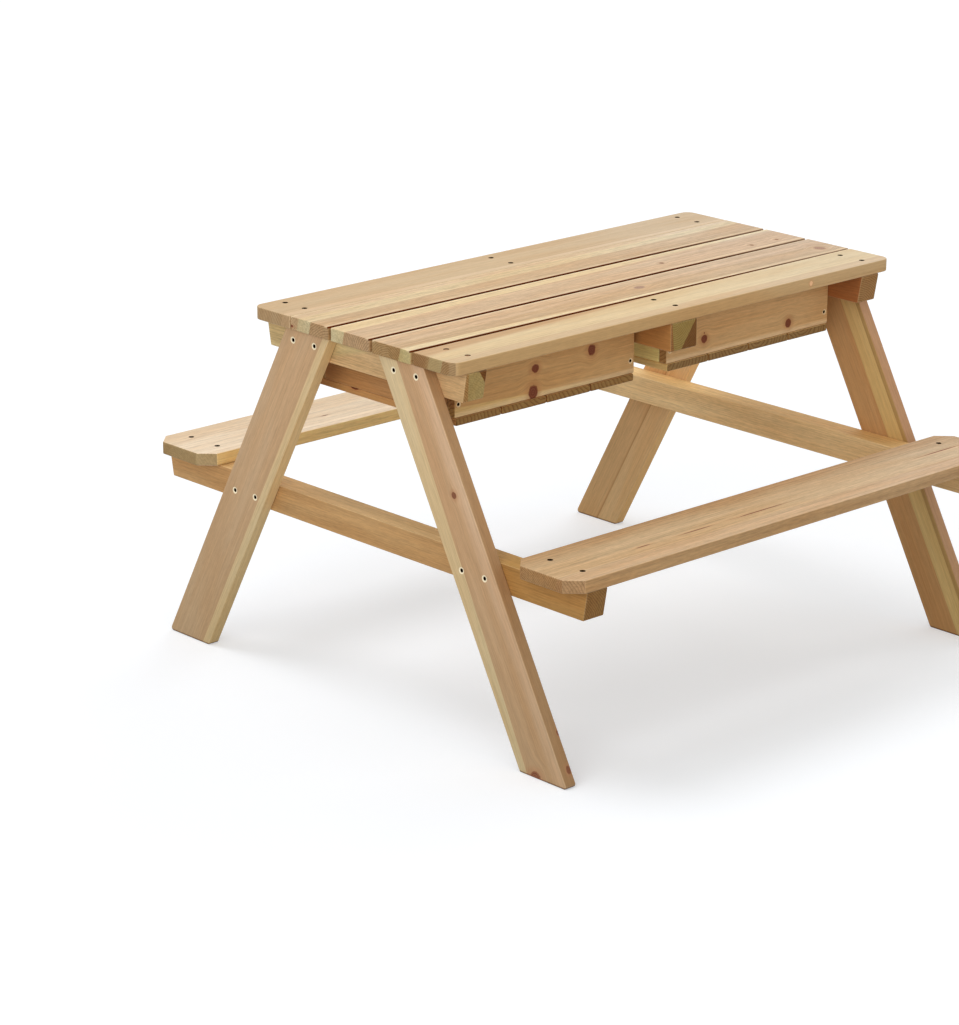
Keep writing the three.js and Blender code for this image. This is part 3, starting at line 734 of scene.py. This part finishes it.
# Each edge tint below is painted shade on the board's narrow edges.
BOARD_WOODS = {
    "front": {
        "tones": (GOLD, CREAM, SAND), "cuts": [across_at(-0.017), across_at(0.040, 0.06)], "soft": 0.007,
        "figure": 1.3, "knots": [EDGE_KNOT], "edge": (0.89, 0.79, 0.61, 1.0), "end": (0.74, 0.66, 0.54, 1.0),
    },
    # The back board's rounded edges take more painted highlight, which lightens the shaded groove at its
    # joint.
    "back": {
        "tones": (LINEN, DUNE), "cuts": [across_at(-0.027, -0.008)],
        "figure": 1.2, "edge": (0.80, 0.74, 0.60, 1.0), "eased": 0.25,
    },
}
BOARD_MARKS = {"knot_tones": PALE_KNOT, "fading": 0.6}
beam_places = [middle_of(f"{end}_top_beam").x for end in ("left", "middle", "right")]
for edge, look in BOARD_WOODS.items():
    name = f"tabletop_{edge}_board"
    low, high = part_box(name)
    centre = middle_of(name)
    outer = [TABLE_CORNER_RADIUS, TABLE_CORNER_RADIUS, 0, 0]
    rounding = outer if edge == "front" else outer[::-1]
    piece = board(name + "_planed", rectangle(low, high), low.z, high.z, rounding=rounding)
    places = [(x, centre.y + row * BOARD_SCREW_SPACING / 2, high.z) for x in beam_places for row in (-1, 1)]
    wood = cedar_material(name, X, Y, centre, seed=centre.y, **BOARD_MARKS, **look)
    fit_board(name, piece, wood, cutter=bits(places, Z, bore_shade, bore_shade, *SUNK_BORE))
    if edge == "front":
        corner, places = places[:2], places[2:]
        name = "tabletop_front_corner_screws"
        screw_heads(name, corner, Z, SUNK_HEAD_RADIUS, CORNER_HEAD_DEPTH, finish=pale_head_steel)
    screw_heads(f"tabletop_{edge}_screws", places, Z, SUNK_HEAD_RADIUS, SUNK_HEAD_DEPTH)

# The lid of the sand boxes: three more boards, with no screws through their tops, on two battens beneath
# that drop inside the boxes. It lies loose and lifts off as one. Its front board is sawn slightly askew.
LID_ARRIS = 1.1 * MM
# How far from a lid board's middle its painted shadow line and highlight bands lie.
LID_RIM = 39.3 * MM
LID_TAPER = (2.2 * MM, -1.0 * MM)
BOARD_FACE = 9.5 * MM
OAT = (231, 209, 166)
TAWNY = (206, 175, 136)
ROSE = (214, 184, 148)
RUSSET = (208, 154, 102)
FAINT_KNOT = ((156, 118, 98), (184, 150, 124), (198, 162, 128))
SMALL_KNOT = ((128, 88, 62), (160, 118, 88), (196, 158, 122))
# Painted shade: the dark tint of edges that close a gap, standing in for the shadow in the gap.
GAP_EDGE_SHADE = (0.38, 0.20, 0.03, 1.0)
LID_WOODS = {
    "lid_front_board": {
        "tones": (OAT, TAWNY, ROSE), "cuts": [across_at(-0.0285, -0.0275), across_at(0.006)],
        "knots": [
            ((0.036, 0.001, BOARD_FACE), (0.009, 0.006, 0.006)),
            ((0.412, -0.012, BOARD_FACE), (0.008, 0.010, 0.006)),
        ],
        "knot_tones": FAINT_KNOT, "end": (0.82, 0.77, 0.60, 1.0),
    },
    "lid_middle_board": {
        "tones": (ROSE, OAT), "cuts": [across_at(0.0243, 0.025)],
        "knots": [
            ((0.166, -0.004, BOARD_FACE), (0.0035, 0.004, 0.004)),
            ((0.350, -0.016, BOARD_FACE), (0.003, 0.004, 0.004)),
            ((0.406, -0.016, BOARD_FACE), (0.003, 0.0035, 0.004)),
        ],
        "knot_tones": SMALL_KNOT,
    },
    "lid_back_board": {
        "tones": (TAWNY, CREAM, LINEN), "cuts": [across_at(0.0065, 0.019), across_at(0.030, 0.011)],
        "knots": [((-0.445, 0.040, -0.004), (0.003, 0.006, 0.0018))],
    },
}
# Lid boards take the painted gap shadow on their edges and no painted highlight on their rounded edges.
LID_MARKS = {"figure": 2.9, "edge": GAP_EDGE_SHADE, "eased": 0.0, "fading": 0.9, "soft": 0.003}
BATTEN_SEED = 6.0
for name, look in LID_WOODS.items():
    low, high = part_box(name)
    left, right = LID_TAPER if name == "lid_front_board" else (0.0, 0.0)
    outline = rectangle(low, high)
    outline[0], outline[1] = (low.x, low.y + left), (high.x, low.y + right)
    piece = board(name + "_planed", outline, low.z, high.z, arris=LID_ARRIS)
    centre = middle_of(name)
    rim = {"rim": LID_RIM - (left + right) / 2, "rim_turn": (left - right) / (high.x - low.x)}
    wood = cedar_material(name, X, Y, centre, seed=centre.y, **LID_MARKS, **rim, **look)
    fit_board(name, piece, wood, "lid")
for end in ("left", "right"):
    name = f"lid_{end}_batten"
    low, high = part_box(name)
    piece = board(name + "_planed", rectangle(low, high), low.z, high.z)
    wood = cedar_material(name, Y, X, middle_of(name), (RUSSET,), seed=BATTEN_SEED + middle_of(name).x)
    fit_board(name, piece, wood, "lid")

# Beams: the top ones carry the tabletop and the boxes between them, the seat ones run through from seat
# to seat. All but the square middle one have ends sawn at a slant.
BEAM_END_SLANT = 7.5 * MM
BEAM_END_TINT = (0.80, 0.80, 0.74, 1.0)
# Painted light: a paler edge tint for edges that catch more light than the usual painted edge shade.
LIT_EDGE_TINT = (1.0, 0.98, 0.86, 1.0)
MAPLE = (222, 189, 142)
KHAKI = (214, 192, 142)
UMBER = (150, 104, 48)
COCOA = (190, 136, 80)
OLIVE = (198, 173, 106)
SORREL = (168, 108, 62)
TOFFEE = (183, 139, 80)
OCHRE = (197, 157, 107)
WHEAT = (230, 194, 142)
FLAX = (246, 213, 160)
SAP_SHELL = ((0.235, 1, 8), -0.147)
UPPER_HEART = ((0, 0.6, 0.8), 0.016)
THIN_HEART = ((0, 0.1, 1), -0.0215)
LOWER_HEART = ((0, -0.58, 0.81), 0.008)
SHADED_END = (X, -0.262)
BRIGHT_END = (X, 0.05)
BEAM_WOODS = {
    "left_top_beam": {
        "tones": (MAPLE, KHAKI, UMBER), "cuts": [SAP_SHELL, UPPER_HEART], "figure": 3.0,
        "end": (0.81, 0.71, 0.53, 1.0),
    },
    "middle_top_beam": {"tones": (COCOA, OLIVE, UMBER), "cuts": [THIN_HEART, LOWER_HEART], "figure": 1.5},
    "right_top_beam": {"tones": (SORREL,), "figure": 2.0, "end": (1.2, 1.8, 2.1, 1.0)},
    # The left seat beam's edge tint lightens its top: painted light where the seat above shades it.
    "left_seat_beam": {
        "tones": (TOFFEE, OCHRE), "cuts": [NO_CUT, SHADED_END], "soft": 0.03, "figure": 2.2,
        "edge": (1.25, 1.40, 1.50, 1.0),
    },
    "right_seat_beam": {"tones": (WHEAT, FLAX), "cuts": [NO_CUT, BRIGHT_END], "soft": 0.12, "figure": 2.2},
}
BEAM_MARKS = {"edge": LIT_EDGE_TINT, "end": BEAM_END_TINT}
BEAM_SEED = 7.0
for name, look in BEAM_WOODS.items():
    low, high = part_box(name)
    slant = 0 if name == "middle_top_beam" else BEAM_END_SLANT
    outline = [(low.y + slant, low.z), (high.y - slant, low.z), (high.y, high.z), (low.y, high.z)]
    piece = board(name + "_planed", outline, low.x, high.x, "yzx")
    seed = BEAM_SEED + middle_of(name).x * 10
    wood = cedar_material(name, Y, Z, middle_of(name), seed=seed, **(BEAM_MARKS | look))
    fit_board(name, piece, wood)

# Legs: four slanted boards with level cuts at the floor and under the tabletop. Each is held to its two
# beams by pairs of screws deep in countersunk bores, whose cones show a ring of fresh pale wood.
LEG_LEVEL_CUT = 93.3 * MM
LEG_FOOT_RADIUS = 4.5 * MM
LEG_BORE = (5.1 * MM, 2.9 * MM, 0.6 * MM, 7.8 * MM)
LEG_HEAD_RADIUS = 2.7 * MM
LEG_HEAD_DEPTH = 4.0 * MM
FAWN = (206, 170, 132)
BLUSH = (220, 186, 152)
DUN = (206, 174, 138)
ACORN = (185, 151, 97)
FERN = (217, 186, 127)
ROAN = (198, 152, 102)
APRICOT = (240, 200, 148)
AMBER = (205, 158, 108)
PEACH = (229, 186, 134)
FRESH, FRESH_SHADE = (255, 246, 218), (255, 236, 200)
LEG_KNOT = ((108, 60, 38), (156, 104, 74), (182, 128, 90))
# Each leg's edge tint is painted shade on the front left leg's narrow edges, painted light on the others'.
LEG_WOODS = {
    "front_left_leg": {
        "tones": (CREAM, FAWN, BLUSH), "cuts": [across_at(-0.0199, 0.033), across_at(0.018)], "soft": 0.006,
        "seed": 12.0, "edge": (0.68, 0.60, 0.47, 1.0),
        "knots": [
            ((0.103, 0.016, -BOARD_FACE), (0.0052, 0.0045, 0.003)),
            ((-0.294, -0.014, -BOARD_FACE), (0.009, 0.011, 0.004)),
            ((-0.298, 0.041, 0.005), (0.006, 0.004, 0.004)),
            ((-0.246, 0.041, 0.0085), (0.0045, 0.003, 0.003)),
        ],
    },
    "back_left_leg": {
        "tones": (DUN, CREAM), "cuts": [across_at(0.027)], "soft": 0.001,
        "seed": 13.0, "edge": (1.20, 1.15, 1.04, 1.0),
    },
    "front_right_leg": {
        "tones": (ACORN, FERN, ROAN), "cuts": [across_at(-0.031), across_at(-0.005)],
        "seed": 14.0, "edge": (1.14, 1.04, 1.50, 1.0), "eased": 0.0,
    },
    "back_right_leg": {
        "tones": (APRICOT, AMBER, PEACH), "cuts": [across_at(-0.001), across_at(0.002)], "soft": 0.001,
        "seed": 15.0, "edge": (1.15, 1.08, 0.92, 1.0),
    },
}
# Legs take the painted shade towards the floor and the dark line at the sole.
LEG_MARKS = {"figure": 1.3, "knot_tones": LEG_KNOT, "soil": 0.85}
fresh = cut_wood("fresh_cut", FRESH, FRESH_SHADE)
for name, look in LEG_WOODS.items():
    edge, end, _ = name.split("_")
    facing = 1 if edge == "back" else -1
    side = 1 if end == "right" else -1
    low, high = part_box(name)
    foot, top = (high.y, low.y) if facing > 0 else (low.y, high.y)
    level = facing * LEG_LEVEL_CUT
    outline = [(foot - level, low.z), (foot, low.z), (top + level, high.z), (top, high.z)][::facing]
    lean = Vector((0, top + level - foot, high.z - low.z))
    outward = Vector((side, 0, 0))
    nodes = [f"leg_screw_{edge}_{end}_{at}_{row}" for at in ("top", "seat") for row in ("inner", "outer")]
    places = [Vector((high.x if side > 0 else low.x, *middle_of(node).yz)) for node in nodes]
    rounding = [LEG_FOOT_RADIUS, LEG_FOOT_RADIUS, CORNER_ROUNDING, CORNER_ROUNDING][::facing]
    piece = board(name + "_planed", outline, low.x, high.x, "yzx", rounding=rounding)
    wood = cedar_material(name, lean, lean.cross(outward), middle_of(name), **LEG_MARKS, **look)
    fit_board(name, piece, wood, cutter=bits(places, outward, bore_shade, fresh, *LEG_BORE))
    for node, place in zip(nodes, places):
        screw_heads(node + "_head", [place], outward, LEG_HEAD_RADIUS, LEG_HEAD_DEPTH, [node])

# Bench seats: one wide board each at the front and the back, all four corners sawn off, screwed down to
# the seat beams. Short dry cracks run along the grain.
SEAT_CORNER_CUT = 22 * MM
SEAT_SCREW_SPACING = 62 * MM
BARLEY = (208, 177, 140)
OATMEAL = (207, 178, 138)
NUTMEG = (198, 162, 119)
PEARL = (248, 230, 204)
IVORY = (236, 216, 188)
SHELL = (230, 208, 178)
# The edge tints here are painted shade on the seats' narrow edges.
SEAT_WOODS = {
    "front": {
        "tones": (BARLEY, OATMEAL, NUTMEG), "cuts": [across_at(-0.030), across_at(0.036)], "figure": 2.6,
        "end": (0.86, 0.74, 0.60, 1.0),
        "knots": [
            ((-0.268, -0.0125, BOARD_FACE), (0.013, 0.0011, 0.002)),
            ((-0.163, -0.0125, BOARD_FACE), (0.028, 0.0010, 0.002)),
            ((-0.036, -0.0125, BOARD_FACE), (0.046, 0.0011, 0.002)),
            ((0.372, 0.004, BOARD_FACE), (0.036, 0.0011, 0.002)),
        ],
    },
    "back": {
        "tones": (PEARL, IVORY, SHELL), "cuts": [across_at(-0.038), across_at(0.030)], "figure": 2.0,
        "edge": (1.06, 0.94, 0.56, 1.0), "end": (0.54, 0.42, 0.26, 1.0),
        "knots": [((-0.180, -0.016, BOARD_FACE), (0.007, 0.0012, 0.002))],
    },
}
SEAT_MARKS = {"fading": 0.6, "soft": 0.018}
BROWNING, BROWNING_BLOOM = (86, 58, 32), (122, 88, 54)
browned_steel = screw_steel("browned_steel", BROWNING, BROWNING_BLOOM)
for edge, look in SEAT_WOODS.items():
    name = f"{edge}_seat"
    low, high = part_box(name)
    cut = SEAT_CORNER_CUT
    outline = [(low.x + cut, low.y), (high.x - cut, low.y), (high.x, low.y + cut), (high.x, high.y - cut)]
    outline += [(high.x - cut, high.y), (low.x + cut, high.y), (low.x, high.y - cut), (low.x, low.y + cut)]
    centre = middle_of(name)
    beams = [middle_of(f"{end}_seat_beam").x for end in ("left", "right")]
    places = [(x, centre.y + row * SEAT_SCREW_SPACING / 2, high.z) for x in beams for row in (-1, 1)]
    piece = board(name + "_planed", outline, low.z, high.z)
    wood = cedar_material(name, X, Y, centre, seed=centre.y, **SEAT_MARKS, **look)
    fit_board(name, piece, wood, cutter=bits(places, Z, bore_shade, bore_shade, *SUNK_BORE))
    screw_heads(f"{edge}_seat_screws", places, Z, SUNK_HEAD_RADIUS, SUNK_HEAD_DEPTH, finish=browned_steel)

# Sand boxes: two long walls over the ends of two short ones, screwed together near the top and the
# bottom, with a floor of four slats whose lower edges are rounded over.
WALL_BORE = (4.2 * MM, 2.4 * MM, 0.6 * MM, 6.0 * MM)
WALL_HEAD_RADIUS = 2.25 * MM
WALL_HEAD_DEPTH = 2.2 * MM
WALL_SCREW_EDGE = 19 * MM
WALL_RINGS = 5 * MM
# Where a long wall's painted highlight bands and the painted shadow line at its lower edge lie.
WALL_RIM = 41.2 * MM
SLAT_ARRIS = 2.5 * MM
SLAT_RINGS = 6.5 * MM
BRASS = (206, 165, 112)
COPPER = (212, 172, 121)
CHESTNUT = (187, 138, 88)
LEMON = (254, 232, 152)
STRAW = (238, 206, 146)
LONG_WALL_WOODS = {
    "left": {"tones": (FERN, BRASS), "cuts": [across_at(-0.034, -0.036, 0.0)]},
    "right": {"tones": (COPPER,)},
}
LONG_WALL_MARKS = {"figure": 1.8, "ring": WALL_RINGS, "rim": WALL_RIM, "end": (0.95, 0.85, 0.65, 1.0)}
SHORT_WALL_TONES = {"left": CHESTNUT, "right": LEMON}
SLAT_TONES = {"left": AMBER, "right": STRAW}
SLAT_END_TINTS = {"left": (0.70, 0.76, 0.60, 1.0), "right": (0.46, 0.41, 0.36, 1.0)}
# The knots of a front wall: their places along and up it, and half their length and width in millimetres.
WALL_KNOTS = {
    "left_box_front_wall": [
        (-0.022, 0.001, 7.2, 6.3), (-0.026, -0.033, 8.6, 10.8), (0.0885, 0.008, 7.2, 8.2),
    ],
    "right_box_front_wall": [
        (-0.0955, -0.018, 6.5, 6.2), (0.0865, -0.026, 6.6, 7.2), (-0.0955, -0.009, 1.2, 1.2),
    ],
}
SLAT_CRACK = ((0.067, -0.042, -0.0052), (0.008, 0.006, 0.0025))
LONG_WALL_SEED, SHORT_WALL_SEED, SLAT_SEED = 30.0, 40.0, 50.0
tan = cut_wood("tan_cut", STRAW, IVORY)
for end in ("left", "right"):
    for edge, facing in (("front", -1), ("back", 1)):
        name = f"{end}_box_{edge}_wall"
        low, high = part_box(name)
        ends = [middle_of(f"{end}_box_{side}_wall").x for side in ("inner", "outer")]
        face = low.y if facing < 0 else high.y
        outward = (0, facing, 0)
        places = [(x, face, z) for x in ends for z in (low.z + WALL_SCREW_EDGE, high.z - WALL_SCREW_EDGE)]
        piece = board(name + "_planed", rectangle((low.x, low.z), (high.x, high.z)), low.y, high.y, "xzy")
        knots = [((x, z, 0), (long * MM, wide * MM, 1)) for x, z, long, wide in WALL_KNOTS.get(name, ())]
        look = {"seed": LONG_WALL_SEED + facing + low.x, "knots": knots, **LONG_WALL_MARKS}
        wood = cedar_material(name, X, Z, middle_of(name), **look, **LONG_WALL_WOODS[end])
        fit_board(name, piece, wood, cutter=bits(places, outward, bore_shade, tan, *WALL_BORE))
        screw_heads(f"{end}_box_{edge}_screws", places, outward, WALL_HEAD_RADIUS, WALL_HEAD_DEPTH)
    for side in ("inner", "outer"):
        name = f"{end}_box_{side}_wall"
        low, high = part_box(name)
        piece = board(name + "_planed", rectangle((low.y, low.z), (high.y, high.z)), low.x, high.x, "yzx")
        tones, seed = (SHORT_WALL_TONES[end],), SHORT_WALL_SEED + low.x
        wood = cedar_material(name, Y, Z, middle_of(name), tones, seed=seed, figure=2.0)
        fit_board(name, piece, wood)
    for number in (1, 2, 3, 4):
        name = f"{end}_box_slat_{number}"
        low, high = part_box(name)
        piece = board(name + "_planed", rectangle(low, high), low.z, high.z, arris=SLAT_ARRIS)
        look = {"tones": (SLAT_TONES[end],), "seed": SLAT_SEED + number + low.x * 10, "figure": 1.5}
        look |= {"eased": 0.0, "ring": SLAT_RINGS, "end": SLAT_END_TINTS[end]}
        # The slats' edges take the painted gap shadow, but the first slat's take the paler painted edge
        # light.
        look["edge"] = LIT_EDGE_TINT if number == 1 else GAP_EDGE_SHADE
        look["knots"] = [SLAT_CRACK] if name == "left_box_slat_1" else ()
        fit_board(name, piece, cedar_material(name, Y, X, middle_of(name), **look))
